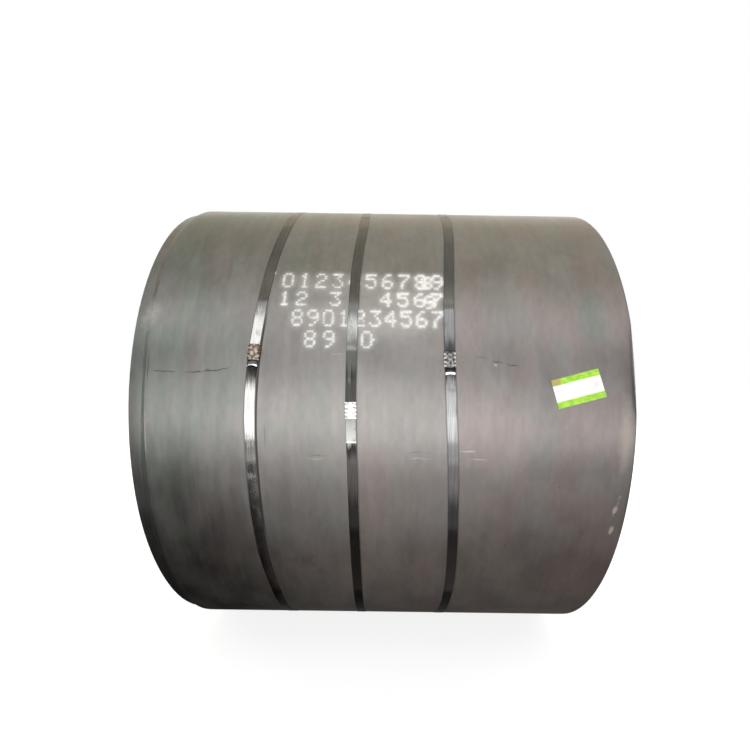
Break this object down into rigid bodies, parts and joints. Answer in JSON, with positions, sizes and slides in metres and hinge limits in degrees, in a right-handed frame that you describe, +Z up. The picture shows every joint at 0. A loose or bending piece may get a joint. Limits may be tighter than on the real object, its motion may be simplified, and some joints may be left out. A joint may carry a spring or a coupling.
{
  "type": "steel coil",
  "caption": "Hot-rolled steel strip wound into a heavy coil, lying on its side, held by steel straps with crimped seals, with an open bore.",
  "frame": {"origin": "on the ground under the middle of the coil, at the centre of its footprint", "axes": "+X along the coil's axis, towards the label's end, where the outermost wrap overhangs; -Y towards the front, where the seals and the label are; +Z up"},
  "size_m": [1.549, 1.8143, 1.8094],
  "materials": {
    "hot_rolled_steel": "grey mill scale, dull, with faint streaks round the coil",
    "strap_steel": "blued and waxed, glossy",
    "seal_steel": "bright with brown rust",
    "label_paper": "matt paper, white with two green bands, blank"
  },
  "bodies": {
    "root": {"coil": "hot_rolled_steel", "strap_left": "strap_steel", "strap_middle": "strap_steel", "strap_right": "strap_steel", "seal_left": "seal_steel", "seal_middle": "seal_steel", "seal_right": "seal_steel", "label": "label_paper"}
  },
  "joints": []
}
